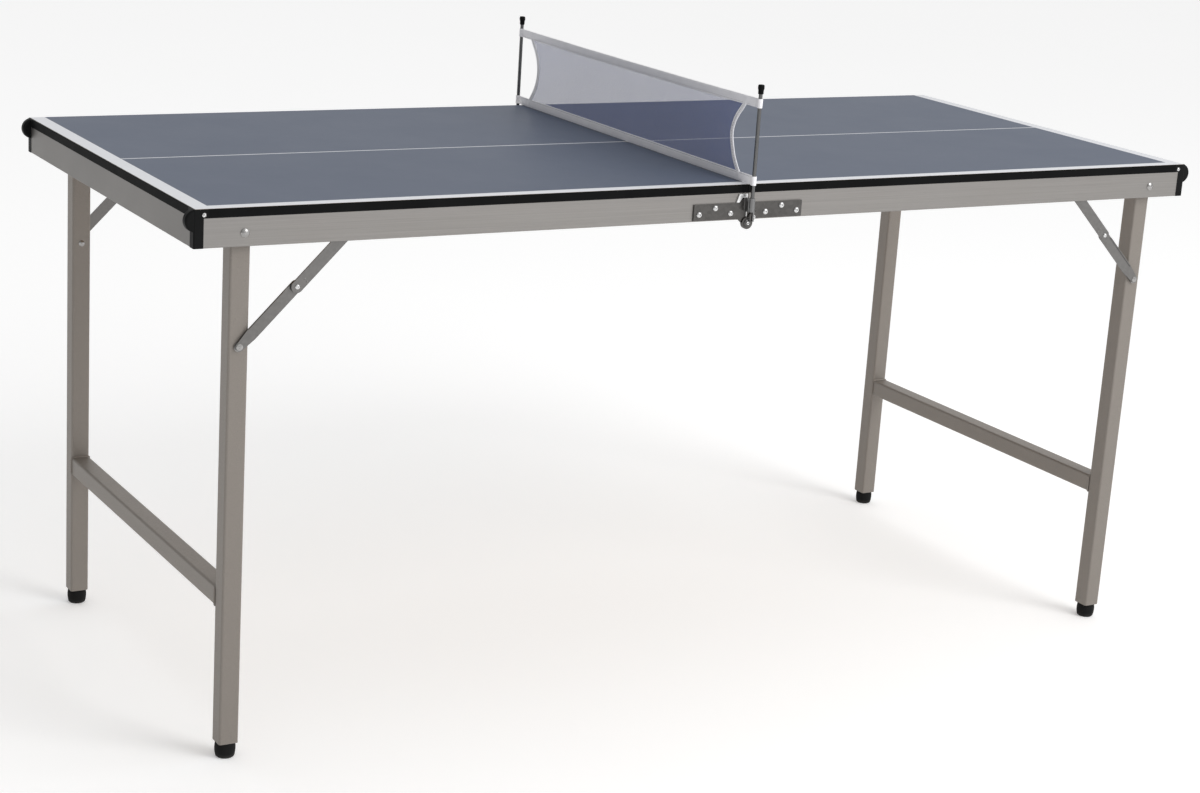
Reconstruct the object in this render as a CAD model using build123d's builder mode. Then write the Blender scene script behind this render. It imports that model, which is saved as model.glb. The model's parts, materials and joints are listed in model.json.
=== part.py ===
from build123d import *
from math import asin, atan2, degrees
import os

# Folding mini ping pong table, in millimetres. +Z is up and the floor is Z = 0.
# The table's length runs along X with the fold at X = 0, and the near side faces -Y.
# Each half has side -1 (left) or +1 (right); each long side is face -1 (near) or +1 (far).

# ---------------------------------------------------------------- driving dimensions
TABLE_LENGTH = 1500.0
TABLE_WIDTH = 620.0
TABLE_HEIGHT = 690.0

BOARD_THICKNESS = 11.0
FOLD_GAP = 1.0            # between the two boards
EDGE_THICKNESS = 2.0      # black moulding round the board
EDGE_LIP = 0.5            # the moulding stands this far proud of the rail

RAIL_HEIGHT = 35.0
RAIL_WALL = 2.0
RAIL_FLANGE = 13.5        # from the rail's outer face, under the board
CENTRE_RAIL_SETBACK = 2.0

CAP_LENGTH = 12.0         # corner cap, from the table's end to the rail's end
CAP_WALL = 2.0
CAP_TONGUE = 25.0
CAP_TONGUE_THICKNESS = 3.0
BUMPER_RADIUS = 13.5
BUMPER_DROP = 14.0        # bumper's centre, below the top
BUMPER_REACH = 10.0       # beyond the table's end
CAP_SCREW_RADIUS = 2.6

TUBE = 25.0
TUBE_WALL = 1.5
TUBE_CORNER = 3.0
LEG_END_INSET = 50.0      # leg's outer face, from the table's end
LEG_SIDE_INSET = 13.0     # leg's outer face, from the table's side
LEG_ABOVE_PIVOT = 11.0
PIVOT_DROP = 30.0         # leg pivot, below the top
PIVOT_RADIUS = 4.0
STRETCHER_DROP = 472.0    # stretcher's upper face, below the top

FOOT_HEIGHT = 20.0
FOOT_RADIUS = 12.0
FOOT_BULGE = 1.0
FOOT_PLUG = 14.0

STAY_REACH = 138.0        # from the leg pivot to each end of the stay
STAY_WIDTH = 15.0
STAY_THICKNESS = 2.0
STAY_PIN_RADIUS = 3.0
STAY_HEAD_RADIUS = 4.2
STAY_TIP_RADIUS = 5.2     # lower link's narrow end at the leg
STAY_NECK = 20.0          # from that end to where the link is full width
STAY_FLANGE = 1.0         # height of the lower link's folded edge
STAY_LAYER_GAP = 1.2      # between the lower and the upper link
STAY_FLANGE_ENDS = (22.0, 14.0)   # bare link before the folded edge: at the leg, at the middle
STUD_RADII = (8.0, 5.0)   # studs of the upper links: base and neck

BRACKET_THICKNESS = 2.5
BRACKET_REACH = 18.0      # half of a leg bracket's length
BRACKET_FLANGE = 16.0
BRACKET_NOSE = 9.0        # radius round the pivot

FOLD_DROP = 50.0          # fold axis, below the top
HINGE_THICKNESS = 2.0
HINGE_TOP_DROP = 23.5
HINGE_HEIGHT = 21.0
HINGE_EAR_RADIUS = 8.0
HINGE_PIN_RADIUS = 3.2
HINGE_HEAD_RADIUS = 5.5
HINGE_LEFT_SPAN = (-81.0, -14.0)
HINGE_RIGHT_SPAN = (11.5, 84.5)
HINGE_TAB_SPAN = (-3.0, -1.5)
HINGE_TAB_RISE = 6.0      # raised tab of the left plate, above the plate
HINGE_TAB_CURVE = (-11.5, -8.5)
HINGE_TAB_SHOULDER = 4.2
HINGE_JOGGLE = 5.2        # length of the right plate's step out to its ear
HINGE_JOGGLE_HEIGHT = 9.0
RIVET_LEFT_X = (-73.0, -49.0, -25.5)
RIVET_RIGHT_X = (28.0, 52.5, 76.5)
RIVET_LOW = 8.0           # rivets' heights above the plate's lower edge
RIVET_HIGH = 15.5
RIVET_HEAD_RADIUS = 4.0
RIVET_SHANK_RADIUS = 2.4

POST_RADIUS = 2.5
POST_OUTBOARD = 11.0      # post's axis, beyond the table's side
POST_ABOVE_TOP = 118.0
POST_CAP_RADIUS = 4.25
POST_CAP_HEIGHT = 12.0
SOCKET_RADIUS = 3.8
SOCKET_TOP_DROP = 16.0
SOCKET_BOTTOM_DROP = 34.0
SOCKET_FLOOR = 1.5
NET_PLATE_SPAN = (-17.0, -1.0)
NET_PLATE_CUT = (-12.5, -8.5)     # slanted lower edge, over the hinge plate's shoulder
NET_STRIP_SPAN = (2.8, 5.0)       # narrow strip beside the socket
NET_STRIP_DROP = (19.0, 47.0)
NET_ARM_SPAN = (-5.2, -3.2)       # flat arm from the plate into the socket's wall

NET_THICKNESS = 0.8
TAPE_THICKNESS = 1.6
TAPE_HEIGHT = 12.0
NET_TOP = 112.0           # upper edge of the upper tape, above the top
NET_GAP = 0.4             # lower tape, above the top
SIDE_TAPE_WIDTH = 7.0
SIDE_TAPE_END_INSET = 30.0
SIDE_TAPE_MID_INSET = 56.0

RUNNING_CLEARANCE = 0.05  # radial, pins that turn or slide in holes
SHANK_CLEARANCE = 0.1     # radial, fixed rivets in their holes

# ---------------------------------------------------------------- derived dimensions
HALF_LENGTH = TABLE_LENGTH / 2
HALF_WIDTH = TABLE_WIDTH / 2
BOARD_BOTTOM = TABLE_HEIGHT - BOARD_THICKNESS
RAIL_BOTTOM = BOARD_BOTTOM - RAIL_HEIGHT
RAIL_OUTER = HALF_WIDTH - EDGE_LIP
RAIL_INNER = RAIL_OUTER - RAIL_WALL
RAIL_END = HALF_LENGTH - CAP_LENGTH

LEG_OUTER = HALF_WIDTH - LEG_SIDE_INSET
LEG_INNER = LEG_OUTER - TUBE
LEG_Y = LEG_OUTER - TUBE / 2
LEG_X = HALF_LENGTH - LEG_END_INSET - TUBE / 2
PIVOT_Z = TABLE_HEIGHT - PIVOT_DROP
LEG_TOP = PIVOT_Z + LEG_ABOVE_PIVOT
STRETCHER_Z = TABLE_HEIGHT - STRETCHER_DROP - TUBE / 2

BRACKET_OUTER = LEG_INNER - 1.5
BRACKET_INNER = BRACKET_OUTER - BRACKET_THICKNESS

STAY_LINK = STAY_REACH / 2 ** 0.5
STAY_ANCHOR_X = LEG_X - STAY_REACH
STAY_PIN_Z = PIVOT_Z - STAY_REACH
STAY_MID_X = LEG_X - STAY_REACH / 2
STAY_MID_Z = PIVOT_Z - STAY_REACH / 2
LOWER_LINK_INNER = LEG_OUTER + 2.3
LOWER_LINK_OUTER = LOWER_LINK_INNER + STAY_THICKNESS
UPPER_LINK_INNER = LOWER_LINK_OUTER + STAY_LAYER_GAP
UPPER_LINK_OUTER = UPPER_LINK_INNER + STAY_THICKNESS

FOLD_Z = TABLE_HEIGHT - FOLD_DROP
HINGE_TOP = TABLE_HEIGHT - HINGE_TOP_DROP
HINGE_BOTTOM = HINGE_TOP - HINGE_HEIGHT
HINGE_INNER = RAIL_OUTER + 0.1
HINGE_OUTER = HINGE_INNER + HINGE_THICKNESS
EAR_INNER = HINGE_OUTER + 0.2
EAR_OUTER = EAR_INNER + HINGE_THICKNESS

POST_Y = HALF_WIDTH + POST_OUTBOARD
SOCKET_TOP = TABLE_HEIGHT - SOCKET_TOP_DROP
SOCKET_BOTTOM = TABLE_HEIGHT - SOCKET_BOTTOM_DROP
POST_BOTTOM = SOCKET_BOTTOM + 2
POST_TOP = TABLE_HEIGHT + POST_ABOVE_TOP
NET_BOTTOM = TABLE_HEIGHT + NET_GAP
TAPE_END = POST_Y - POST_RADIUS - 0.5

SIDES = {-1: "left", 1: "right"}
FACES = {-1: "near", 1: "far"}
FROM_BASE = (Align.CENTER, Align.CENTER, Align.MIN)


# ---------------------------------------------------------------- helpers
def side_layer(face, inner, outer):
    """Sketch plane in X and Z for a layer from |y| = inner to |y| = outer.

    An extrusion by outer - inner fills the layer.
    """
    high = outer if face > 0 else -inner
    return Plane.XZ.offset(-high)


def outward_plane(face, distance, x=0.0, z=0.0):
    """Plane at |y| = distance whose normal points away from the table's middle."""
    return Plane(origin=(x, face * distance, z), x_dir=(1, 0, 0), z_dir=(0, face, 0))


def save(part, name):
    """Label a finished sub-part and write its STEP file."""
    part.label = name
    export_step(part, f"parts/{name}.step")


def centred_box(x_span, y_span, z_span, mode=Mode.ADD):
    """Add or subtract an axis-aligned block, given by its limits."""
    spans = (x_span, y_span, z_span)
    centre = [sum(span) / 2 for span in spans]
    size = [abs(span[1] - span[0]) for span in spans]
    with Locations(tuple(centre)):
        Box(*size, mode=mode)


def cut_side_hole(face, x, z, radius, inner, outer):
    """Drill a hole along Y through the layer between two distances."""
    with Locations(outward_plane(face, inner, x, z)):
        Cylinder(radius, outer - inner, align=FROM_BASE, mode=Mode.SUBTRACT)


def add_disc(face, x, z, radius, inner, outer):
    """Add a disc along Y between two distances from the table's middle."""
    with Locations(outward_plane(face, inner, x, z)):
        Cylinder(radius, outer - inner, align=FROM_BASE)


def add_dome(face, x, z, radius, base, height):
    """Add a domed rivet head that stands from |y| = base; a negative base faces inward."""
    shoulder = height * 0.25
    crown = height - shoulder
    ball = (radius ** 2 + crown ** 2) / (2 * crown)
    latitude = degrees(asin((ball - crown) / ball))
    with Locations(outward_plane(face, base, x, z)):
        Cylinder(radius, shoulder, align=FROM_BASE)
    with Locations(outward_plane(face, base + shoulder, x, z)):
        Sphere(ball, latitude, 90, align=FROM_BASE)


# ---------------------------------------------------------------- table halves
def make_board(side):
    """Painted board of one half."""
    start = side * FOLD_GAP / 2
    end = side * (HALF_LENGTH - EDGE_THICKNESS)
    width = TABLE_WIDTH - 2 * EDGE_THICKNESS
    with BuildPart() as board:
        with BuildSketch(Plane.XY.offset(BOARD_BOTTOM)):
            with Locations(((start + end) / 2, 0)):
                Rectangle(abs(end - start), width)
        extrude(amount=BOARD_THICKNESS)
        fillet(board.faces().sort_by(Axis.Z)[-1].edges(), 0.4)
    save(board.part, f"board_{SIDES[side]}")


def make_edge_strip(side):
    """Black moulding round the board: two long lengths and one along the end."""
    start = side * FOLD_GAP / 2
    corner = side * (RAIL_END - 6)
    top = TABLE_HEIGHT - 0.4
    y_end = HALF_WIDTH - CAP_LENGTH - 6
    with BuildPart() as strip:
        for face in FACES:
            y_span = (face * (HALF_WIDTH - EDGE_THICKNESS), face * HALF_WIDTH)
            centred_box((start, corner), y_span, (BOARD_BOTTOM, top))
        x_span = (side * (HALF_LENGTH - EDGE_THICKNESS), side * HALF_LENGTH)
        centred_box(x_span, (-y_end, y_end), (BOARD_BOTTOM, top))
        outer = strip.edges().filter_by(GeomType.LINE).group_by(Axis.Z)[-1]
        fillet(outer, 0.6)
    save(strip.part, f"edge_strip_{SIDES[side]}")


def make_side_rail(side, face):
    """Aluminium angle under a long edge, with holes for what is riveted to it."""
    name = f"side_rail_{FACES[face]}_{SIDES[side]}"
    start = side * CENTRE_RAIL_SETBACK
    end = side * RAIL_END
    web = (face * RAIL_INNER, face * RAIL_OUTER)
    flange = (face * (RAIL_OUTER - RAIL_FLANGE), face * RAIL_OUTER)
    with BuildPart() as rail:
        centred_box((start, end), web, (RAIL_BOTTOM, BOARD_BOTTOM))
        centred_box((start, end), flange, (BOARD_BOTTOM - RAIL_WALL, BOARD_BOTTOM))
        long_edges = rail.edges().filter_by(Axis.X)
        bottom = long_edges.group_by(Axis.Z)[0]
        fillet(bottom, 0.6)
        through = (RAIL_INNER - 1, RAIL_OUTER + 1)
        cut_side_hole(face, side * LEG_X, PIVOT_Z, PIVOT_RADIUS + SHANK_CLEARANCE, *through)
        for x, z in hinge_rivet_points(side):
            cut_side_hole(face, x, z, RIVET_SHANK_RADIUS + SHANK_CLEARANCE, *through)
    save(rail.part, name)


def make_end_rail(side):
    """Aluminium angle under the table's end."""
    outer = HALF_LENGTH - EDGE_LIP
    y_end = HALF_WIDTH - CAP_LENGTH
    y_flange = RAIL_OUTER - RAIL_FLANGE - 0.5
    with BuildPart() as rail:
        centred_box(
            (side * (outer - RAIL_WALL), side * outer),
            (-y_end, y_end),
            (RAIL_BOTTOM, BOARD_BOTTOM),
        )
        centred_box(
            (side * (outer - RAIL_FLANGE), side * (outer - RAIL_WALL)),
            (-y_flange, y_flange),
            (BOARD_BOTTOM - RAIL_WALL, BOARD_BOTTOM),
        )
        bottom = rail.edges().filter_by(Axis.Y).group_by(Axis.Z)[0]
        fillet(bottom, 0.6)
    save(rail.part, f"end_rail_{SIDES[side]}")


def make_centre_rail(side):
    """Cross angle beside the fold, between the two side rails."""
    inner = CENTRE_RAIL_SETBACK
    y_end = RAIL_OUTER - RAIL_FLANGE - 0.5
    with BuildPart() as rail:
        centred_box(
            (side * inner, side * (inner + RAIL_WALL)),
            (-y_end, y_end),
            (RAIL_BOTTOM, BOARD_BOTTOM),
        )
        centred_box(
            (side * inner, side * (inner + RAIL_FLANGE)),
            (-y_end, y_end),
            (BOARD_BOTTOM - RAIL_WALL, BOARD_BOTTOM),
        )
        bottom = rail.edges().filter_by(Axis.Y).group_by(Axis.Z)[0]
        fillet(bottom, 0.6)
    save(rail.part, f"centre_rail_{SIDES[side]}")


def make_corner_cap(side, face):
    """Moulded corner: block between the rail ends, wall round the board's corner, round bumper."""
    name = f"corner_cap_{FACES[face]}_{SIDES[side]}"
    cap_top = TABLE_HEIGHT - 0.6
    x_out = side * HALF_LENGTH
    y_out = face * HALF_WIDTH
    x_rail = side * RAIL_END
    y_rail = face * (HALF_WIDTH - CAP_LENGTH)
    x_wall = side * (RAIL_END - 6)
    y_wall = face * (HALF_WIDTH - CAP_LENGTH - 6)
    tongue_z = (RAIL_BOTTOM + 4, BOARD_BOTTOM - RAIL_WALL - 1)
    tongue_gap = RAIL_WALL + EDGE_LIP + 0.2
    bumper_x = side * (HALF_LENGTH + BUMPER_REACH - BUMPER_RADIUS)
    bumper_z = TABLE_HEIGHT - BUMPER_DROP
    with BuildPart() as cap:
        with Locations(outward_plane(face, HALF_WIDTH - CAP_LENGTH, bumper_x, bumper_z)):
            Cylinder(BUMPER_RADIUS, CAP_LENGTH - 0.4, align=FROM_BASE)
        fillet(cap.edges().filter_by(GeomType.CIRCLE), 3.0)
        centred_box(
            (x_rail - side * 20.0, x_out - side * CAP_WALL / 2),
            (-HALF_WIDTH, HALF_WIDTH),
            (RAIL_BOTTOM, TABLE_HEIGHT),
            mode=Mode.SUBTRACT,
        )
        with BuildSketch(Plane.XY.offset(RAIL_BOTTOM)) as plan:
            with Locations(((x_rail + x_out) / 2, (y_rail + y_out) / 2)):
                Rectangle(CAP_LENGTH, CAP_LENGTH)
            fillet(plan.vertices().sort_by_distance((x_out, y_out))[0], 2.0)
        extrude(amount=cap_top - RAIL_BOTTOM)
        centred_box((x_wall, x_rail), (y_rail, y_out), (BOARD_BOTTOM, cap_top))
        centred_box((x_rail, x_out), (y_wall, y_rail), (BOARD_BOTTOM, cap_top))
        centred_box(
            (x_wall - side, x_out - side * CAP_WALL),
            (y_wall - face, y_out - face * CAP_WALL),
            (BOARD_BOTTOM, TABLE_HEIGHT),
            mode=Mode.SUBTRACT,
        )
        y_tongue = y_out - face * tongue_gap
        x_tongue = x_out - side * tongue_gap
        centred_box(
            (x_rail - side * CAP_TONGUE, x_rail),
            (y_tongue - face * CAP_TONGUE_THICKNESS, y_tongue),
            tongue_z,
        )
        centred_box(
            (x_tongue - side * CAP_TONGUE_THICKNESS, x_tongue),
            (y_rail - face * CAP_TONGUE, y_rail),
            tongue_z,
        )
    save(cap.part, name)


def make_corner_screws(side):
    """Small round-headed screws that hold the caps to the board's edge."""
    x = side * (RAIL_END - 0.5)
    z = TABLE_HEIGHT - 7.0
    with BuildPart() as screws:
        for face in FACES:
            add_dome(face, x, z, CAP_SCREW_RADIUS, HALF_WIDTH, 1.3)
    save(screws.part, f"corner_screws_{SIDES[side]}")


# ---------------------------------------------------------------- fold hinge
def hinge_rivet_points(side):
    """Places of one hinge plate's three rivets: low, high, low."""
    low, high = HINGE_BOTTOM + RIVET_LOW, HINGE_BOTTOM + RIVET_HIGH
    places = RIVET_LEFT_X if side < 0 else RIVET_RIGHT_X
    return tuple(zip(places, (low, high, low)))


def make_hinge_plate_left(face):
    """Plate on the left rail, with an ear round the fold pin and a raised tab above it."""
    start, end = HINGE_LEFT_SPAN
    curve_start, curve_middle = HINGE_TAB_CURVE
    tab_start, tab_end = HINGE_TAB_SPAN
    tab_top = HINGE_TOP + HINGE_TAB_RISE
    with BuildPart() as plate:
        with BuildSketch(side_layer(face, HINGE_INNER, HINGE_OUTER)):
            with BuildLine():
                Polyline(
                    (start, HINGE_BOTTOM),
                    (start, HINGE_TOP),
                    (curve_start, HINGE_TOP),
                )
                ThreePointArc(
                    (curve_start, HINGE_TOP),
                    (curve_middle, HINGE_TOP + HINGE_TAB_SHOULDER),
                    (tab_start, tab_top),
                )
                Polyline(
                    (tab_start, tab_top),
                    (tab_end, tab_top),
                    (tab_end, FOLD_Z),
                    (-HINGE_EAR_RADIUS, FOLD_Z),
                    (end, HINGE_BOTTOM),
                    (start, HINGE_BOTTOM),
                )
            make_face()
            with Locations((0, FOLD_Z)):
                Circle(HINGE_EAR_RADIUS)
                Circle(HINGE_PIN_RADIUS + 0.02, mode=Mode.SUBTRACT)
            for point in hinge_rivet_points(-1):
                with Locations(point):
                    Circle(RIVET_SHANK_RADIUS + SHANK_CLEARANCE, mode=Mode.SUBTRACT)
        extrude(amount=HINGE_THICKNESS)
    save(plate.part, f"hinge_plate_{FACES[face]}_left")


def make_hinge_plate_right(face):
    """Plate on the right rail, joggled outward to an ear over the left plate's ear."""
    start, end = HINGE_RIGHT_SPAN
    ramp = start - HINGE_JOGGLE
    arm_top = HINGE_BOTTOM + HINGE_JOGGLE_HEIGHT
    with BuildPart() as plate:
        with BuildSketch(side_layer(face, HINGE_INNER, HINGE_OUTER)):
            with Locations(((start + end) / 2, (HINGE_TOP + HINGE_BOTTOM) / 2)):
                RectangleRounded(end - start, HINGE_HEIGHT, 1.0)
            for point in hinge_rivet_points(1):
                with Locations(point):
                    Circle(RIVET_SHANK_RADIUS + SHANK_CLEARANCE, mode=Mode.SUBTRACT)
        extrude(amount=HINGE_THICKNESS)
        centred_box(
            (ramp, start + 2.0),
            (face * HINGE_INNER, face * EAR_OUTER),
            (HINGE_BOTTOM, arm_top),
        )
        with BuildSketch(side_layer(face, EAR_INNER, EAR_OUTER)):
            with Locations((0, FOLD_Z)):
                Circle(HINGE_EAR_RADIUS)
            with BuildLine():
                Polyline(
                    (0, FOLD_Z - HINGE_EAR_RADIUS),
                    (start, HINGE_BOTTOM),
                    (start, arm_top),
                    (ramp, arm_top),
                    (0, FOLD_Z + HINGE_EAR_RADIUS),
                    close=True,
                )
            make_face()
            with Locations((0, FOLD_Z)):
                Circle(HINGE_PIN_RADIUS + RUNNING_CLEARANCE, mode=Mode.SUBTRACT)
        extrude(amount=HINGE_THICKNESS)
    save(plate.part, f"hinge_plate_{FACES[face]}_right")


def make_hinge_rivets(side):
    """Six domed rivets that hold one half's two hinge plates to its side rails."""
    with BuildPart() as rivets:
        for face in FACES:
            for x, z in hinge_rivet_points(side):
                add_disc(face, x, z, RIVET_SHANK_RADIUS, RAIL_INNER, HINGE_OUTER)
                add_disc(face, x, z, RIVET_HEAD_RADIUS - 0.8, RAIL_INNER - 1.2, RAIL_INNER)
                add_dome(face, x, z, RIVET_HEAD_RADIUS, HINGE_OUTER, 2.3)
    save(rivets.part, f"hinge_rivets_{SIDES[side]}")


def make_hinge_pins():
    """Two pins on the fold axis, fixed in the left ears; the right ears turn on them."""
    with BuildPart() as pins:
        for face in FACES:
            add_disc(face, 0, FOLD_Z, HINGE_PIN_RADIUS + 0.9, RAIL_INNER, HINGE_INNER)
            add_disc(face, 0, FOLD_Z, HINGE_PIN_RADIUS, HINGE_INNER, EAR_OUTER + 0.1)
            add_dome(face, 0, FOLD_Z, HINGE_HEAD_RADIUS, EAR_OUTER + 0.1, 2.2)
    save(pins.part, "hinge_pins")


# ---------------------------------------------------------------- leg pivots and stays
def make_leg_brackets(side):
    """Angle brackets under the board that carry the inner ends of the leg pivots."""
    x = side * LEG_X
    with BuildPart() as brackets:
        for face in FACES:
            with BuildSketch(side_layer(face, BRACKET_INNER, BRACKET_OUTER)):
                with BuildLine():
                    Polyline(
                        (x - BRACKET_NOSE, PIVOT_Z),
                        (x - BRACKET_REACH, BOARD_BOTTOM),
                        (x + BRACKET_REACH, BOARD_BOTTOM),
                        (x + BRACKET_NOSE, PIVOT_Z),
                    )
                    ThreePointArc(
                        (x + BRACKET_NOSE, PIVOT_Z),
                        (x, PIVOT_Z - BRACKET_NOSE),
                        (x - BRACKET_NOSE, PIVOT_Z),
                    )
                make_face()
                with Locations((x, PIVOT_Z)):
                    Circle(PIVOT_RADIUS + SHANK_CLEARANCE, mode=Mode.SUBTRACT)
            extrude(amount=BRACKET_THICKNESS)
            centred_box(
                (x - BRACKET_REACH, x + BRACKET_REACH),
                (face * (BRACKET_INNER - BRACKET_FLANGE), face * BRACKET_OUTER),
                (BOARD_BOTTOM - BRACKET_THICKNESS, BOARD_BOTTOM),
            )
    save(brackets.part, f"leg_brackets_{SIDES[side]}")


def make_leg_pivots(side):
    """Long shouldered rivets through the side rail, the leg and the inner bracket."""
    x = side * LEG_X
    with BuildPart() as pivots:
        for face in FACES:
            add_disc(face, x, PIVOT_Z, PIVOT_RADIUS, BRACKET_INNER, RAIL_OUTER)
            add_disc(face, x, PIVOT_Z, PIVOT_RADIUS + 3.0, LEG_OUTER + 0.3, RAIL_INNER)
            add_disc(face, x, PIVOT_Z, PIVOT_RADIUS + 1.8, BRACKET_INNER - 1.5, BRACKET_INNER)
            add_dome(face, x, PIVOT_Z, PIVOT_RADIUS + 1.5, RAIL_OUTER, 2.8)
    save(pivots.part, f"leg_pivots_{SIDES[side]}")


def stay_faces(side):
    """The long sides that carry a folding stay: both on the left, only the near one on the right."""
    return (-1, 1) if side < 0 else (-1,)


def make_stay_studs(side):
    """Studs inside the side rails that the upper stay links turn on."""
    x = side * STAY_ANCHOR_X
    neck = UPPER_LINK_OUTER + 0.2
    base_radius, neck_radius = STUD_RADII
    with BuildPart() as studs:
        for face in stay_faces(side):
            add_disc(face, x, PIVOT_Z, base_radius, RAIL_INNER - 1.0, RAIL_INNER)
            add_disc(face, x, PIVOT_Z, neck_radius, neck, RAIL_INNER - 1.0)
            add_disc(face, x, PIVOT_Z, STAY_PIN_RADIUS, UPPER_LINK_INNER, neck)
    save(studs.part, f"stay_studs_{SIDES[side]}")


def link_outline(x0, z0, x1, z1, width):
    """Sketch a flat link with round ends between two pivots."""
    with Locations((x0, z0), (x1, z1)):
        Circle(width / 2)
    length = ((x1 - x0) ** 2 + (z1 - z0) ** 2) ** 0.5
    with Locations(((x0 + x1) / 2, (z0 + z1) / 2)):
        Rectangle(length, width, rotation=degrees(atan2(z1 - z0, x1 - x0)))


def make_upper_link(side, face):
    """Upper stay link, from the stud to the middle pivot, with the middle rivet in it."""
    name = f"stay_upper_{FACES[face]}_{SIDES[side]}"
    x_anchor, x_mid = side * STAY_ANCHOR_X, side * STAY_MID_X
    with BuildPart() as link:
        with BuildSketch(side_layer(face, UPPER_LINK_INNER, UPPER_LINK_OUTER)):
            link_outline(x_anchor, PIVOT_Z, x_mid, STAY_MID_Z, STAY_WIDTH)
            with Locations((x_anchor, PIVOT_Z)):
                Circle(STAY_PIN_RADIUS + RUNNING_CLEARANCE, mode=Mode.SUBTRACT)
        extrude(amount=STAY_THICKNESS)
        add_dome(face, x_mid, STAY_MID_Z, 3.0, UPPER_LINK_OUTER, 1.0)
        for step_x, step_z in ((9.0, 9.0), (12.5, 5.5)):
            add_dome(face, x_mid - side * step_x, STAY_MID_Z + step_z, 1.4, UPPER_LINK_OUTER, 0.6)
    save(link.part, name)


def make_lower_link(side, face):
    """Lower stay link, from the leg's pin to the middle pivot, with a folded upper edge."""
    name = f"stay_lower_{FACES[face]}_{SIDES[side]}"
    x_pin, x_mid = side * LEG_X, side * STAY_MID_X
    along = 2 ** -0.5
    bare_at_leg, bare_at_middle = STAY_FLANGE_ENDS
    flange_length = STAY_LINK - bare_at_leg - bare_at_middle
    flange_width = 1.5
    reach = bare_at_leg + flange_length / 2
    offset = (STAY_WIDTH - flange_width) / 2
    with BuildPart() as link:
        with BuildSketch(side_layer(face, LOWER_LINK_INNER, LOWER_LINK_OUTER)):
            x_neck = x_pin - side * STAY_NECK * along
            z_neck = STAY_PIN_Z + STAY_NECK * along
            link_outline(x_neck, z_neck, x_mid, STAY_MID_Z, STAY_WIDTH)
            with Locations((x_pin, STAY_PIN_Z)):
                Circle(STAY_TIP_RADIUS)
            with Locations((x_neck, z_neck)):
                Circle(STAY_WIDTH / 2)
            make_hull()
            with Locations((x_pin, STAY_PIN_Z)):
                Circle(STAY_PIN_RADIUS + RUNNING_CLEARANCE, mode=Mode.SUBTRACT)
        extrude(amount=STAY_THICKNESS)
        with BuildSketch(side_layer(face, LOWER_LINK_OUTER, LOWER_LINK_OUTER + STAY_FLANGE)):
            x_flange = x_pin - side * (reach - offset) * along
            z_flange = STAY_PIN_Z + (reach + offset) * along
            with Locations((x_flange, z_flange)):
                Rectangle(flange_length, flange_width, rotation=-45.0 * side)
        extrude(amount=STAY_FLANGE)
        add_dome(-face, x_mid, STAY_MID_Z, 3.0, -LOWER_LINK_INNER, 0.9)
    save(link.part, name)


# ---------------------------------------------------------------- leg frames
def tube_profile():
    """Sketch the legs' and stretchers' square tube, centred on the local origin."""
    RectangleRounded(TUBE, TUBE, TUBE_CORNER)
    inner = TUBE - 2 * TUBE_WALL
    RectangleRounded(inner, inner, TUBE_CORNER - TUBE_WALL, mode=Mode.SUBTRACT)


def make_leg(side, face):
    """Square tube leg, drilled for its pivot and, where it has a stay, for the stay's pin."""
    x = side * LEG_X
    with BuildPart() as leg:
        with BuildSketch(Plane.XY.offset(FOOT_HEIGHT)):
            with Locations((x, face * LEG_Y)):
                tube_profile()
        extrude(amount=LEG_TOP - FOOT_HEIGHT)
        through = (LEG_INNER - 1, LEG_OUTER + 1)
        cut_side_hole(face, x, PIVOT_Z, PIVOT_RADIUS + RUNNING_CLEARANCE, *through)
        if face in stay_faces(side):
            cut_side_hole(face, x, STAY_PIN_Z, STAY_PIN_RADIUS + SHANK_CLEARANCE, *through)
    save(leg.part, f"leg_{FACES[face]}_{SIDES[side]}")


def make_stretcher(side):
    """Square tube welded between the two legs of one frame."""
    with BuildPart() as stretcher:
        with BuildSketch(Plane.XZ.offset(-LEG_INNER)):
            with Locations((side * LEG_X, STRETCHER_Z)):
                tube_profile()
        extrude(amount=2 * LEG_INNER)
    save(stretcher.part, f"stretcher_{SIDES[side]}")


def make_foot(side, face):
    """Round rubber foot with a square plug inside the leg."""
    x, y = side * LEG_X, face * LEG_Y
    plug = TUBE - 2 * TUBE_WALL - 1.0
    with BuildPart() as foot:
        with BuildSketch(Plane(origin=(x, y, 0), x_dir=(1, 0, 0), z_dir=(0, -1, 0))):
            with BuildLine():
                Polyline(
                    (0, 0),
                    (FOOT_RADIUS - 2.0, 0),
                    (FOOT_RADIUS - 0.3, 1.5),
                )
                ThreePointArc(
                    (FOOT_RADIUS - 0.3, 1.5),
                    (FOOT_RADIUS + FOOT_BULGE, FOOT_HEIGHT * 0.5),
                    (FOOT_RADIUS, FOOT_HEIGHT),
                )
                Polyline(
                    (FOOT_RADIUS, FOOT_HEIGHT),
                    (0, FOOT_HEIGHT),
                    (0, 0),
                )
            make_face()
        revolve(axis=Axis((x, y, 0), (0, 0, 1)))
        with BuildSketch(Plane.XY.offset(FOOT_HEIGHT)):
            with Locations((x, y)):
                Rectangle(plug, plug)
        extrude(amount=FOOT_PLUG)
    save(foot.part, f"foot_{FACES[face]}_{SIDES[side]}")


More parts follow.
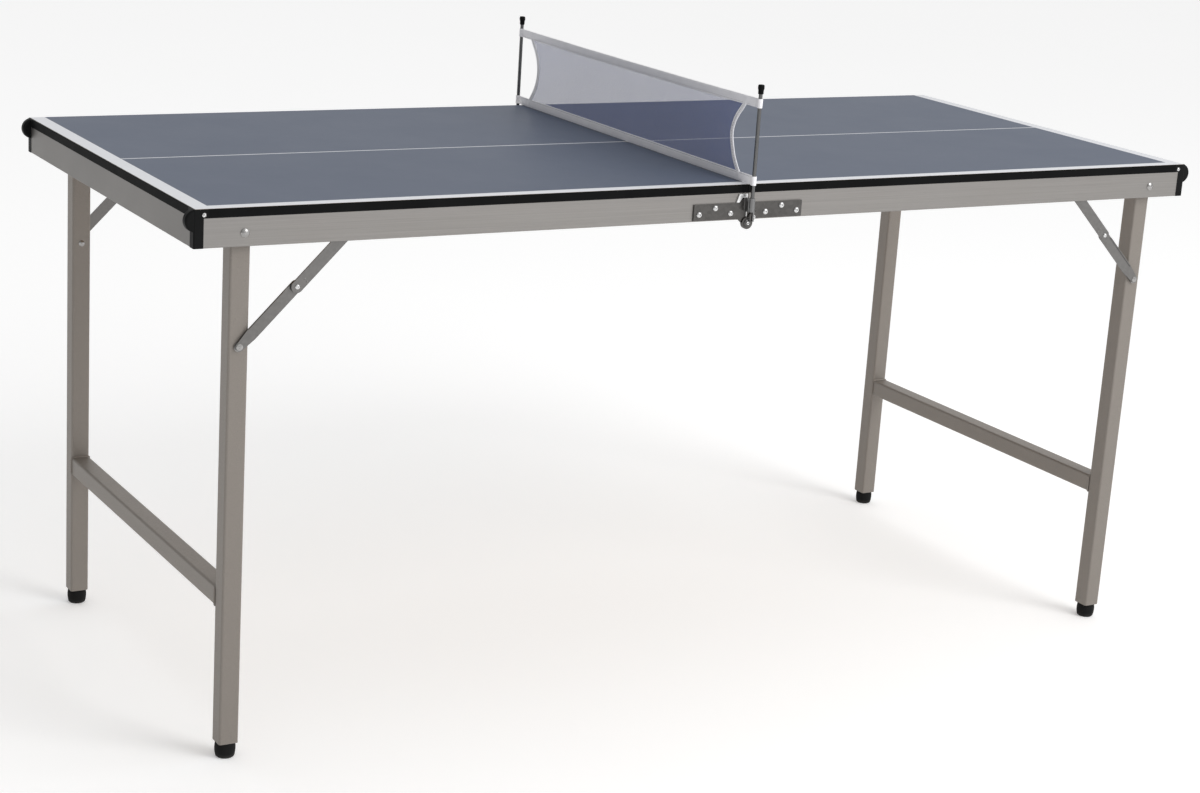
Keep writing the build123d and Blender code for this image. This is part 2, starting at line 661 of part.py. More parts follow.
def make_stay_pins(side):
    """Rivets through the legs that the lower stay links turn on; flat outer heads pass the studs."""
    x = side * LEG_X
    outer_head = STAY_LAYER_GAP - 0.2
    with BuildPart() as pins:
        for face in stay_faces(side):
            add_disc(face, x, STAY_PIN_Z, STAY_PIN_RADIUS, LEG_INNER, LOWER_LINK_OUTER + 0.1)
            add_disc(face, x, STAY_PIN_Z, 6.0, LEG_OUTER, LOWER_LINK_INNER - 0.2)
            add_dome(face, x, STAY_PIN_Z, STAY_HEAD_RADIUS, LOWER_LINK_OUTER + 0.1, outer_head)
            add_dome(-face, x, STAY_PIN_Z, STAY_HEAD_RADIUS, -LEG_INNER, 1.6)
    save(pins.part, f"stay_pins_{SIDES[side]}")


# ---------------------------------------------------------------- net
def make_net_bracket(face):
    """Bent bracket on the left rail with a round socket for the net post and a strip beside it."""
    plate_top = BOARD_BOTTOM - 1.0
    plate_bottom = HINGE_TOP + HINGE_TAB_RISE + 0.5
    plate_start, plate_end = NET_PLATE_SPAN
    cut_start, cut_end = NET_PLATE_CUT
    strip_top, strip_bottom = (TABLE_HEIGHT - drop for drop in NET_STRIP_DROP)
    with BuildPart() as bracket:
        with BuildSketch(side_layer(face, HINGE_INNER, HINGE_OUTER)):
            with BuildLine():
                Polyline(
                    (plate_start + 4.0, plate_top),
                    (plate_end, plate_top),
                    (plate_end, plate_bottom),
                    (cut_end, plate_bottom),
                    (cut_start, HINGE_TOP + 0.5),
                    (plate_start, HINGE_TOP + 0.5),
                    close=True,
                )
            make_face()
        extrude(amount=HINGE_THICKNESS)
        centred_box(
            NET_ARM_SPAN,
            (face * HINGE_OUTER, face * POST_Y),
            (SOCKET_BOTTOM, SOCKET_TOP),
        )
        centred_box(
            NET_ARM_SPAN,
            (face * HINGE_INNER, face * HINGE_OUTER),
            (plate_bottom, plate_top),
        )
        with BuildSketch(Plane.XY.offset(SOCKET_BOTTOM)):
            with Locations((0, face * POST_Y)):
                Circle(SOCKET_RADIUS)
        extrude(amount=SOCKET_TOP - SOCKET_BOTTOM)
        centred_box(
            NET_STRIP_SPAN,
            (face * (POST_Y - SOCKET_RADIUS), face * POST_Y),
            (strip_bottom, strip_top),
        )
        with BuildSketch(Plane.XY.offset(SOCKET_BOTTOM + SOCKET_FLOOR)):
            with Locations((0, face * POST_Y)):
                Circle(POST_RADIUS + RUNNING_CLEARANCE)
        extrude(amount=SOCKET_TOP, mode=Mode.SUBTRACT)
    save(bracket.part, f"net_bracket_{FACES[face]}")


def make_net_post(face):
    """Steel rod that stands in its socket and carries the net."""
    with BuildPart() as post:
        with BuildSketch(Plane.XY.offset(POST_BOTTOM)):
            with Locations((0, face * POST_Y)):
                Circle(POST_RADIUS)
        extrude(amount=POST_TOP - POST_BOTTOM)
    save(post.part, f"net_post_{FACES[face]}")


def make_net_post_caps():
    """Round plastic caps on the two posts."""
    with BuildPart() as caps:
        for face in FACES:
            with BuildSketch(Plane.XY.offset(POST_TOP)):
                with Locations((0, face * POST_Y)):
                    Circle(POST_CAP_RADIUS)
            extrude(amount=POST_CAP_HEIGHT)
        fillet(caps.faces().group_by(Axis.Z)[-1].edges(), 1.6)
    save(caps.part, "net_post_caps")


def make_cross_tape(name, bottom, height):
    """Folded tape from post to post, with a sleeve round each post."""
    with BuildPart() as tape:
        centred_box(
            (-TAPE_THICKNESS / 2, TAPE_THICKNESS / 2),
            (-TAPE_END, TAPE_END),
            (bottom, bottom + height),
        )
        with BuildSketch(Plane.XY.offset(bottom)):
            with Locations((0, -POST_Y), (0, POST_Y)):
                Circle(POST_RADIUS + 1.0)
                Circle(POST_RADIUS, mode=Mode.SUBTRACT)
        extrude(amount=height)
    save(tape.part, name)


def side_tape_curve(inset_shift):
    """Three points of a side tape's edge: bottom, middle, top, as distance from the middle."""
    low = NET_BOTTOM + TAPE_HEIGHT
    high = TABLE_HEIGHT + NET_TOP - TAPE_HEIGHT
    ends = POST_Y - SIDE_TAPE_END_INSET - inset_shift
    middle = POST_Y - SIDE_TAPE_MID_INSET - inset_shift
    return (ends, low), (middle, (low + high) / 2), (ends, high)


def make_side_tapes():
    """Curved tapes that close the two ends of the netting."""
    with BuildPart() as tapes:
        for face in FACES:
            outer = [(face * y, z) for y, z in side_tape_curve(0.0)]
            inner = [(face * y, z) for y, z in side_tape_curve(SIDE_TAPE_WIDTH)]
            with BuildSketch(Plane.YZ.offset(-TAPE_THICKNESS / 2)):
                with BuildLine():
                    ThreePointArc(*outer)
                    Line(outer[2], inner[2])
                    ThreePointArc(*inner)
                    Line(inner[0], outer[0])
                make_face()
            extrude(amount=TAPE_THICKNESS)
    save(tapes.part, "net_side_tapes")


def make_netting():
    """Netting panel between the four tapes, as a thin sheet."""
    edge = side_tape_curve(SIDE_TAPE_WIDTH)
    near = [(-y, z) for y, z in edge]
    with BuildPart() as netting:
        with BuildSketch(Plane.YZ.offset(-NET_THICKNESS / 2)):
            with BuildLine():
                ThreePointArc(*edge)
                Line(edge[2], near[2])
                ThreePointArc(*near)
                Line(near[0], edge[0])
            make_face()
        extrude(amount=NET_THICKNESS)
    save(netting.part, "netting")


# ---------------------------------------------------------------- build everything
os.makedirs("parts", exist_ok=True)

for side in SIDES:
    make_board(side)
    make_edge_strip(side)
    make_end_rail(side)
    make_centre_rail(side)
    make_corner_screws(side)
    make_hinge_rivets(side)
    make_leg_brackets(side)
    make_leg_pivots(side)
    make_stay_studs(side)
    make_stretcher(side)
    make_stay_pins(side)
    for face in FACES:
        make_side_rail(side, face)
        make_corner_cap(side, face)
        make_leg(side, face)
        make_foot(side, face)
    for face in stay_faces(side):
        make_upper_link(side, face)
        make_lower_link(side, face)

for face in FACES:
    make_hinge_plate_left(face)
    make_hinge_plate_right(face)
    make_net_bracket(face)
    make_net_post(face)

make_hinge_pins()
make_net_post_caps()
make_cross_tape("net_top_tape", TABLE_HEIGHT + NET_TOP - TAPE_HEIGHT, TAPE_HEIGHT)
make_cross_tape("net_bottom_tape", NET_BOTTOM, TAPE_HEIGHT)
make_side_tapes()
make_netting()
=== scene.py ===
import json
import math
import random

import bmesh
import bpy
from mathutils import Matrix, Vector, noise


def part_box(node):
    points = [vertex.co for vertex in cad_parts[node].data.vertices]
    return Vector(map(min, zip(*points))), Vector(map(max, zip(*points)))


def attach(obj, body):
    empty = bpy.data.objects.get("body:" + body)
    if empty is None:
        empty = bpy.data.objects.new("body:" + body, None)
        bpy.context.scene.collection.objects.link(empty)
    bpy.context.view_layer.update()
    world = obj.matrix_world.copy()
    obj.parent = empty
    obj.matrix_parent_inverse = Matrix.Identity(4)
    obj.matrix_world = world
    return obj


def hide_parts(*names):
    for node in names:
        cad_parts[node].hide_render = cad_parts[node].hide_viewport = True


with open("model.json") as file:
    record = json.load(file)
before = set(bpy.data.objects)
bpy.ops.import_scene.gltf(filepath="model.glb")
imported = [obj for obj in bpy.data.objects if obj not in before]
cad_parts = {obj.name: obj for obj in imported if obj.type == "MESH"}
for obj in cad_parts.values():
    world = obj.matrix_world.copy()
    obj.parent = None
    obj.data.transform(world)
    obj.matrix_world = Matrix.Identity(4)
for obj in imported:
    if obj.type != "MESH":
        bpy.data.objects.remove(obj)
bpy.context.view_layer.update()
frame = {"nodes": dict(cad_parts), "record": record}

MM = 0.001

# ---------------------------------------------------------------- camera and light
CAMERA_PLACE = (-1.7293, -2.8690, 1.2544)
CAMERA_YAW = -30.85
CAMERA_PITCH = -15.57
CAMERA_ROLL = 3.74
CAMERA_LENS = 73.06
CAMERA_SENSOR = 36.0
KEY_PLACE = (2.0, -3.4, 2.9)
KEY_TARGET = (0.3, 0, 0.45)
KEY_SIZE = 2.6
KEY_POWER = 84.0
WORLD_STRENGTH = 0.92
WORLD_SHADE = 0.33          # share of light from the left
WORLD_SHADE_SPAN = (-0.8, 0.15)
FLOOR_HALF = 30.0
FLOOR_GLOW = 0.20

# ---------------------------------------------------------------- painted lines, metres
SIDE_LINE = 0.0155
END_LINE = 0.020
CENTRE_LINE = 0.0030
LINE_SOFTNESS = 0.00025     # half the width of a painted line's soft edge

# ---------------------------------------------------------------- cloth, metres
WEFT_PITCH = 0.0007
WARP_PITCH = 0.0005

# ---------------------------------------------------------------- hinge and screws, millimetres
HINGE_THICKNESS = 2.0
RAIL_INNER = 307.5          # a side rail's inner face, from the table's middle
RIVET_SPACING = 6.0         # rivets are further apart than this
PIN_HEAD = 2.2
EAR_RIVET = (8.5, 647.8)    # x and z
RAIL_THICKNESS = 2.0
BRACKET_THICKNESS = 2.5
CAP_SCREW_HEAD = 1.3
STAY_RIVET_HEAD = 1.0
SCREW_SHARES = (0.07, 0.30, 0.53, 0.76, 0.965)   # places along a side rail
CROSS_SCREW_Y = (-230.0, -80.0, 80.0, 230.0)
BRACKET_SCREW_Y = 258.5
BRACKET_SCREW_INSET = 8.0   # from a leg bracket's ends
SIDE_FLANGE_MIDDLE = 8.0    # from a rail's outer face
CENTRE_FLANGE_MIDDLE = 5.0
SCREW_SEGMENTS = 24         # so that a cross recess falls on whole steps

# ---------------------------------------------------------------- welds, millimetres
WELD_RADIUS = 1.55
WELD_STEP = 1.1
WELD_STANDOFF = 0.2
TUBE_CORNER = 3.2

# ---------------------------------------------------------------- net, millimetres
POST_RADIUS = 2.5
TAPE_HEIGHT = 12.0
TAPE_WALL = 0.9
TAPE_GAP = 0.15             # between a post and the flat of a cross tape
TAPE_SEAM = 0.15            # seam's distance from the netting, as a share of the tape's height
SIDE_TAPE_HALF = 3.4
TOP_SAG = 1.3               # the middle of the top tape hangs this far below its ends
SWAY = 0.9
NET_TUCK = 2.0              # netting hidden under each cross tape
NET_SHORT = 1.0             # from a side tape's middle line to the netting's edge
NET_SPARE = 3.0             # allowance beyond that line in the flat cut, at each end
SEAM_END = 12.0             # a seam stops this far from a post
SEAM_FACE = 0.42            # from the middle of a cross tape to the thread in its seam
SIDE_SEAM_FACE = 0.75
MESH_PITCH = 1.8
MESH_OPEN = 0.60            # open share of the pitch, along each thread direction
NET_ROWS, NET_COLUMNS = 22, 140
STITCH_PITCH = 3.2
STITCH_LENGTH = 2.3
STITCH_RADIUS = 0.24


# ---------------------------------------------------------------- node helpers
def add(tree, kind, inputs=None, **settings):
    """Add a node, set its properties, and set or link its inputs."""
    made = tree.nodes.new(kind)
    for key, value in settings.items():
        setattr(made, key, value)
    for key, value in (inputs or {}).items():
        socket = made.inputs[key]
        if isinstance(value, bpy.types.NodeSocket):
            tree.links.new(value, socket)
        else:
            socket.default_value = value
    return made


def math_node(tree, operation, first, second=0.0):
    """One arithmetic step between sockets or numbers."""
    return add(tree, "ShaderNodeMath", {0: first, 1: second}, operation=operation).outputs[0]


def remap(tree, value, start, end, low=0.0, high=1.0):
    """Map a value from start..end to low..high, clamped."""
    return add(
        tree,
        "ShaderNodeMapRange",
        {"Value": value, "From Min": start, "From Max": end, "To Min": low, "To Max": high},
    ).outputs[0]


def blend_colours(tree, share, first, second):
    """Mix two colours by a share from 0 to 1."""
    made = add(tree, "ShaderNodeMix", {0: share, 6: first, 7: second}, data_type="RGBA")
    return made.outputs[2]


def grain(tree, scale, detail=3.0, stretch=(1.0, 1.0, 1.0), roughness=0.55):
    """Noise in the object's own coordinates, in cycles per metre."""
    place = add(tree, "ShaderNodeTexCoord").outputs["Object"]
    scaled = add(tree, "ShaderNodeMapping", {"Vector": place, "Scale": stretch}).outputs[0]
    inputs = {"Vector": scaled, "Scale": scale, "Detail": detail, "Roughness": roughness}
    return add(tree, "ShaderNodeTexNoise", inputs).outputs[0]


def bump(tree, height, distance, strength=1.0, normal=None):
    """Turn a height from 0 to 1 into a surface normal; distance in metres."""
    inputs = {"Height": height, "Distance": distance, "Strength": strength}
    if normal is not None:
        inputs["Normal"] = normal
    return add(tree, "ShaderNodeBump", inputs).outputs[0]


def grey(level, warm=0.0):
    """A grey, a little warmer or cooler."""
    return (level * (1 + warm), level, level * (1 - warm), 1.0)


def new_material(name):
    """Empty node material with its output and shader."""
    material = bpy.data.materials.new(name)
    material.use_nodes = True
    tree = material.node_tree
    tree.nodes.clear()
    shader = add(tree, "ShaderNodeBsdfPrincipled")
    output = add(tree, "ShaderNodeOutputMaterial")
    tree.links.new(shader.outputs[0], output.inputs[0])
    return material, tree, shader


def connect(tree, shader, **sockets):
    """Link sockets to the shader's inputs by name, with _ for a space."""
    for name, socket in sockets.items():
        tree.links.new(socket, shader.inputs[name.replace("_", " ")])


# ---------------------------------------------------------------- materials
def board_paint():
    """Blue table paint with white lines on top, bare fibreboard below and at the cut edges.

    The side line runs along the near edge only; the far edge has none.
    """
    material, tree, shader = new_material("board_paint")
    shader.inputs["Specular IOR Level"].default_value = 0.25
    coordinates = add(tree, "ShaderNodeTexCoord")
    place = add(tree, "ShaderNodeSeparateXYZ", {0: coordinates.outputs["Object"]})
    facing = add(tree, "ShaderNodeSeparateXYZ", {0: coordinates.outputs["Normal"]}).outputs[2]
    across = math_node(tree, "ABSOLUTE", place.outputs[1])
    along = math_node(tree, "ABSOLUTE", place.outputs[0])
    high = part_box("board_right")[1]
    soft = LINE_SOFTNESS
    nearness = math_node(tree, "MULTIPLY", place.outputs[1], -1.0)
    side = remap(tree, nearness, high.y - SIDE_LINE - soft, high.y - SIDE_LINE + soft)
    end = remap(tree, along, high.x - END_LINE - soft, high.x - END_LINE + soft)
    centre = remap(tree, across, CENTRE_LINE / 2 + soft, CENTRE_LINE / 2 - soft)
    line = math_node(tree, "MAXIMUM", math_node(tree, "MAXIMUM", side, end), centre)
    cloud = grain(tree, 3.0, 2.0)
    fine = grain(tree, 700.0, 2.0)
    blue = blend_colours(tree, cloud, (0.067, 0.089, 0.139, 1), (0.070, 0.092, 0.142, 1))
    blue = blend_colours(tree, remap(tree, fine, 0.3, 0.7, 0.0, 0.25), blue, (0.086, 0.110, 0.164, 1))
    white = blend_colours(tree, grain(tree, 60.0), (0.71, 0.72, 0.75, 1), (0.76, 0.77, 0.80, 1))
    paint = blend_colours(tree, line, blue, white)
    fibre = grain(tree, 1100.0, 5.0, (1.0, 1.0, 1.0), 0.7)
    blotch = grain(tree, 22.0, 4.0)
    dark_fibre, pale_fibre = (0.23, 0.15, 0.085, 1), (0.37, 0.26, 0.16, 1)
    raw = blend_colours(tree, remap(tree, fibre, 0.35, 0.65), dark_fibre, pale_fibre)
    raw = blend_colours(tree, remap(tree, blotch, 0.35, 0.7, 0.0, 0.5), raw, (0.29, 0.195, 0.115, 1))
    top = remap(tree, facing, 0.15, 0.35)
    colour = blend_colours(tree, top, raw, paint)
    scuffs = grain(tree, 9.0, 6.0, (1.0, 1.0, 1.0), 0.7)
    speckle = math_node(tree, "MULTIPLY", fine, 0.05)
    gloss = math_node(tree, "ADD", remap(tree, scuffs, 0.3, 0.75, 0.44, 0.48), speckle)
    rough = add(tree, "ShaderNodeMix", {0: top, 2: 0.85, 3: gloss}).outputs[0]
    raised = math_node(tree, "MULTIPLY", line, 0.9)
    peel = math_node(tree, "ADD", math_node(tree, "MULTIPLY", fine, 0.35), raised)
    height = add(tree, "ShaderNodeMix", {0: top, 2: fibre, 3: peel}).outputs[0]
    connect(tree, shader, Base_Color=colour, Roughness=rough, Normal=bump(tree, height, 0.00006, 0.6))
    return material


def moulded_black(name, level, gloss, texture, relief, shine=0.05):
    """Black moulded plastic with a fine spark-eroded texture."""
    material, tree, shader = new_material(name)
    shader.inputs["Specular IOR Level"].default_value = shine
    fine = grain(tree, texture, 2.0)
    cloud = grain(tree, 30.0, 4.0)
    colour = blend_colours(tree, cloud, grey(level, -0.02), grey(level * 1.9, -0.03))
    rough = math_node(
        tree,
        "ADD",
        remap(tree, cloud, 0.3, 0.7, gloss - 0.05, gloss + 0.06),
        math_node(tree, "MULTIPLY", fine, 0.08),
    )
    connect(tree, shader, Base_Color=colour, Roughness=rough, Normal=bump(tree, fine, relief, 0.5))
    return material


def drawn_metal(name, level, warm, gloss, stretch, metallic=0.85, contrast=0.12):
    """Metal with fine drawing lines along one axis; stretch is small along the lines."""
    material, tree, shader = new_material(name)
    shader.inputs["Metallic"].default_value = metallic
    lines = grain(tree, 1.0, 4.0, stretch, 0.65)
    cloud = grain(tree, 7.0, 4.0)
    dark, light = grey(level * (1 - contrast), warm), grey(level * (1 + contrast), warm)
    colour = blend_colours(tree, remap(tree, lines, 0.3, 0.7), dark, light)
    patches = remap(tree, cloud, 0.35, 0.65, 0.0, 0.35)
    colour = blend_colours(tree, patches, colour, grey(level * 1.08, warm * 0.6))
    rough = math_node(
        tree,
        "ADD",
        remap(tree, cloud, 0.3, 0.7, gloss - 0.04, gloss + 0.04),
        remap(tree, lines, 0.2, 0.8, -0.05, 0.05),
    )
    connect(tree, shader, Base_Color=colour, Roughness=rough, Normal=bump(tree, lines, 0.00003, 0.5))
    return material


def bracket_metal():
    """Net bracket: bright aluminium plate, greyer towards the socket outside it."""
    material, tree, shader = new_material("bracket_aluminium")
    shader.inputs["Metallic"].default_value = 0.85
    place = add(tree, "ShaderNodeTexCoord").outputs["Object"]
    across = math_node(tree, "ABSOLUTE", add(tree, "ShaderNodeSeparateXYZ", {0: place}).outputs[1])
    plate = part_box("hinge_plate_far_left")[1].y
    outer = remap(tree, across, plate + 0.0005, plate + 0.002)
    lines = grain(tree, 1.0, 4.0, (1200.0, 1200.0, 20.0), 0.65)
    bright = blend_colours(tree, lines, grey(0.74), grey(0.88))
    dull = blend_colours(tree, lines, grey(0.15), grey(0.26))
    colour = blend_colours(tree, outer, bright, dull)
    rough = remap(tree, lines, 0.2, 0.8, 0.24, 0.36)
    connect(tree, shader, Base_Color=colour, Roughness=rough, Normal=bump(tree, lines, 0.00003, 0.5))
    return material


def plated_metal(name, level, warm, gloss, mottle=0.2, cell=220.0):
    """Zinc or nickel plated steel with faint mottling."""
    material, tree, shader = new_material(name)
    shader.inputs["Metallic"].default_value = 0.9
    place = add(tree, "ShaderNodeTexCoord").outputs["Object"]
    cells = add(tree, "ShaderNodeTexVoronoi", {"Vector": place, "Scale": cell}).outputs["Color"]
    spangle = add(tree, "ShaderNodeSeparateColor", {0: cells}).outputs[0]
    cloud = grain(tree, 60.0, 5.0)
    share = math_node(tree, "MULTIPLY", math_node(tree, "ADD", spangle, cloud), 0.5)
    dark, light = grey(level * (1 - mottle), warm), grey(level * (1 + mottle), warm)
    colour = blend_colours(tree, share, dark, light)
    rough = remap(tree, share, 0.1, 0.9, gloss - 0.07, gloss + 0.09)
    fine = grain(tree, 900.0, 3.0)
    connect(tree, shader, Base_Color=colour, Roughness=rough, Normal=bump(tree, fine, 0.00004, 0.4))
    return material


def leg_paint():
    """Silver powder coat: fine flake and a light orange peel."""
    material, tree, shader = new_material("leg_paint")
    shader.inputs["Metallic"].default_value = 0.35
    flake = grain(tree, 2600.0, 2.0)
    peel = grain(tree, 420.0, 2.0)
    cloud = grain(tree, 5.0, 3.0)
    dark, light = (0.184, 0.164, 0.145, 1), (0.272, 0.245, 0.219, 1)
    colour = blend_colours(tree, remap(tree, flake, 0.35, 0.65), dark, light)
    patches = remap(tree, cloud, 0.35, 0.65, 0.0, 0.3)
    colour = blend_colours(tree, patches, colour, (0.240, 0.215, 0.190, 1))
    rough = remap(tree, peel, 0.3, 0.7, 0.40, 0.50)
    normal = bump(tree, peel, 0.00006, 0.5)
    normal = bump(tree, flake, 0.00002, 0.3, normal)
    connect(tree, shader, Base_Color=colour, Roughness=rough, Normal=normal)
    return material


def rubber():
    """Black rubber, dusty close to the floor."""
    material, tree, shader = new_material("rubber")
    place = add(tree, "ShaderNodeTexCoord").outputs["Object"]
    height = add(tree, "ShaderNodeSeparateXYZ", {0: place}).outputs[2]
    fine = grain(tree, 1200.0, 3.0)
    dust = math_node(tree, "MULTIPLY", remap(tree, height, 0.006, 0.0), grain(tree, 160.0, 4.0))
    shader.inputs["Specular IOR Level"].default_value = 0.1
    colour = blend_colours(tree, dust, (0.009, 0.009, 0.009, 1), (0.06, 0.057, 0.053, 1))
    rough = remap(tree, fine, 0.2, 0.8, 0.55, 0.72)
    connect(tree, shader, Base_Color=colour, Roughness=rough, Normal=bump(tree, fine, 0.00008, 0.5))
    return material


def tape_cloth(name, tint):
    """Woven tape or thread of one tint, with the weave across and along it."""
    material, tree, shader = new_material(name)
    shader.inputs["Sheen Weight"].default_value = 0.25
    place = add(tree, "ShaderNodeTexCoord").outputs["Object"]
    split = add(tree, "ShaderNodeSeparateXYZ", {0: place})
    weft_angle = math_node(tree, "MULTIPLY", split.outputs[1], 2 * math.pi / WEFT_PITCH)
    warp_angle = math_node(tree, "MULTIPLY", split.outputs[2], 2 * math.pi / WARP_PITCH)
    weft, warp = math_node(tree, "SINE", weft_angle), math_node(tree, "SINE", warp_angle)
    weave = remap(tree, math_node(tree, "MULTIPLY", weft, warp), -1.0, 1.0)
    cloud = grain(tree, 45.0, 4.0)
    soiling = math_node(tree, "MULTIPLY", cloud, 0.65)
    shade = math_node(tree, "ADD", math_node(tree, "MULTIPLY", weave, 0.35), soiling)
    dark = tuple(0.90 * part for part in tint) + (1,)
    colour = blend_colours(tree, remap(tree, shade, 0.2, 0.8), dark, tint + (1,))
    rough = remap(tree, weave, 0.0, 1.0, 0.9, 0.78)
    connect(tree, shader, Base_Color=colour, Roughness=rough, Normal=bump(tree, weave, 0.00012, 0.6))
    return material


def net_threads():
    """Fine diagonal netting: blue threads with open holes between them."""
    material, tree, shader = new_material("net_threads")
    place = add(tree, "ShaderNodeTexCoord").outputs["Object"]
    split = add(tree, "ShaderNodeSeparateXYZ", {0: place})
    turns = 1 / (MESH_PITCH * MM * math.sqrt(2))
    across = math_node(tree, "MULTIPLY", split.outputs[1], turns)
    up = math_node(tree, "MULTIPLY", split.outputs[2], turns)
    threads = []
    for operation in ("ADD", "SUBTRACT"):
        cycle = math_node(tree, "FRACT", math_node(tree, operation, across, up))
        middle = math_node(tree, "ABSOLUTE", math_node(tree, "SUBTRACT", cycle, 0.5))
        threads.append(remap(tree, middle, MESH_OPEN / 2 - 0.03, MESH_OPEN / 2 + 0.03))
    cover = math_node(tree, "MAXIMUM", *threads)
    knot = math_node(tree, "MULTIPLY", *threads)
    cloud = grain(tree, 150.0, 4.0)
    colour = blend_colours(tree, cloud, (0.100, 0.126, 0.290, 1), (0.132, 0.164, 0.375, 1))
    knots = math_node(tree, "MULTIPLY", knot, 0.5)
    colour = blend_colours(tree, knots, colour, (0.155, 0.190, 0.400, 1))
    height = math_node(tree, "ADD", cover, knot)
    shader.inputs["Roughness"].default_value = 0.8
    connect(tree, shader, Base_Color=colour, Alpha=cover, Normal=bump(tree, height, 0.00025, 0.4))
    return material


def floor_paint():
    """Plain pale studio floor."""
    material, tree, shader = new_material("studio_floor")
    colour = blend_colours(tree, grain(tree, 0.6, 2.0), grey(0.95), grey(0.965))
    shader.inputs["Roughness"].default_value = 0.9
    shader.inputs["Specular IOR Level"].default_value = 0.0
    shader.inputs["Emission Color"].default_value = grey(1.0)
    shader.inputs["Emission Strength"].default_value = FLOOR_GLOW
    connect(tree, shader, Base_Color=colour)
    return material


MATERIALS = {
    "board": board_paint(),
    "edge": moulded_black("edge_moulding", 0.006, 0.40, 500.0, 0.00003, 0.012),
    "cap": moulded_black("corner_moulding", 0.006, 0.38, 1400.0, 0.00008),
    "post_cap": moulded_black("post_cap_plastic", 0.005, 0.45, 1800.0, 0.00005),
    "rail_x": drawn_metal("rail_aluminium_along", 0.255, 0.05, 0.42, (5.0, 1500.0, 1500.0)),
    # end and centre rails: the same aluminium as the side rails with a darker base colour, painted shade
    # for faces turned away from the light
    "rail_y_painted_shade": drawn_metal("rail_aluminium_across_painted_shade", 0.185, 0.05, 0.42, (1500.0, 5.0, 1500.0)),
    "bracket": bracket_metal(),
    "post": drawn_metal("post_steel", 0.14, 0.0, 0.28, (900.0, 900.0, 6.0), 1.0, 0.15),
    "rivet": plated_metal("rivet_nickel", 0.62, 0.0, 0.20, 0.08),
    "dome": plated_metal("pivot_dome_steel", 0.34, 0.02, 0.22, 0.10),
    "dark_rivet": plated_metal("rivet_blackened", 0.10, 0.02, 0.35, 0.2),
    "zinc": plated_metal("hinge_zinc", 0.092, 0.04, 0.36, 0.22),
    "stay": plated_metal("stay_zinc", 0.17, 0.03, 0.36, 0.14),
    "leg": leg_paint(),
    "rubber": rubber(),
    "tape": tape_cloth("net_tape_white", (0.96, 0.95, 0.98)),
    "stitch": tape_cloth("stitch_thread", (0.20, 0.20, 0.23)),
    "net": net_threads(),
    "floor": floor_paint(),
}
SLOT_LOOKS = {
    "table_blue": "board",
    "edge_black": "edge",
    "rail_aluminium": "rail_x",
    "cap_black": "cap",
    "rivet_steel": "rivet",
    "zinc_steel": "zinc",
    "stay_steel": "stay",
    "bracket_aluminium": "bracket",
    "leg_silver": "leg",
    "foot_rubber": "rubber",
    "post_steel": "post",
    "net_mesh": "net",
    "net_tape": "tape",
}


def dress_cad_nodes():
    """Give every CAD node the finish of its material slot."""
    for name, item in frame["nodes"].items():
        for place in item.material_slots:
            look = SLOT_LOOKS[place.material.name]
            if name.startswith(("end_rail", "centre_rail")):
                # end and centre rails take the darker copy of the rail aluminium, painted shade
                look = "rail_y_painted_shade"
            if name.startswith(("leg_pivots", "stay_pins", "stay_studs")):
                look = "dome"
            place.material = MATERIALS[look]


# ---------------------------------------------------------------- mesh helpers
def new_object(name, data):
    """Make an object from its data and put it in the scene."""
    item = bpy.data.objects.new(name, data)
    bpy.context.scene.collection.objects.link(item)
    return item


class Shape:
    """Points and faces of one piece, gathered from lofts; lengths in millimetres."""

    def __init__(self):
        self.points = []
        self.faces = []
        self.finishes = []

    def loft(self, rings, finish=0, caps=True):
        """Join closed rings of equally many points; caps closes both ends."""
        start, count = len(self.points), len(rings[0])
        for ring in rings:
            self.points.extend(ring)
        before = len(self.faces)
        for row in range(len(rings) - 1):
            for step in range(count):
                a = start + row * count + step
                b = start + row * count + (step + 1) % count
                self.faces.append((a, b, b + count, a + count))
        if caps:
            last = start + (len(rings) - 1) * count
            self.faces.append(tuple(range(start + count - 1, start - 1, -1)))
            self.faces.append(tuple(range(last, last + count)))
        self.finishes.extend([finish] * (len(self.faces) - before))

    def lathe(self, frame_matrix, profile, finish=0, segments=32, cut=None):
        """Turn a profile of (radius, height) about the local Z axis."""
        rings = []
        for radius, height in profile:
            ring = []
            for step in range(segments):
                angle = 2 * math.pi * step / segments
                drop = cut(radius, step) if cut else 0.0
                point = Vector((radius * math.cos(angle), radius * math.sin(angle), height - drop))
                ring.append(frame_matrix @ point)
            rings.append(ring)
        self.loft(rings, finish)

    def build(self, name, body, looks, replaces=(), sharp=35.0):
        """Make the object, and hang it on its body."""
        mesh = bpy.data.meshes.new(name)
        mesh.from_pydata([tuple(Vector(point) * MM) for point in self.points], [], self.faces)
        for face, finish in zip(mesh.polygons, self.finishes):
            face.material_index = finish
        work = bmesh.new()
        work.from_mesh(mesh)
        bmesh.ops.recalc_face_normals(work, faces=work.faces)
        work.to_mesh(mesh)
        work.free()
        mesh.shade_smooth()
        mesh.set_sharp_from_angle(angle=math.radians(sharp))
        for look in looks:
            mesh.materials.append(MATERIALS[look])
        item = new_object(name, mesh)
        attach(item, body)
        if replaces:
            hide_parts(*replaces)
        return item


def facing(place, direction):
    """Local frame at a place, in millimetres, whose Z axis points along a direction."""
    turn = Vector(direction).to_track_quat("Z", "Y").to_matrix().to_4x4()
    return Matrix.Translation(Vector(place)) @ turn


def box_mm(node):
    """A CAD node's corners in millimetres."""
    low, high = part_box(node)
    return low / MM, high / MM


def cross_cut(radius_limit, depth):
    """Depth of a cross recess at a radius and an angular step."""
    quarter = SCREW_SEGMENTS // 4
    arm = (0, 1, quarter - 1)
    return lambda radius, step: depth if radius < radius_limit and step % quarter in arm else 0.0


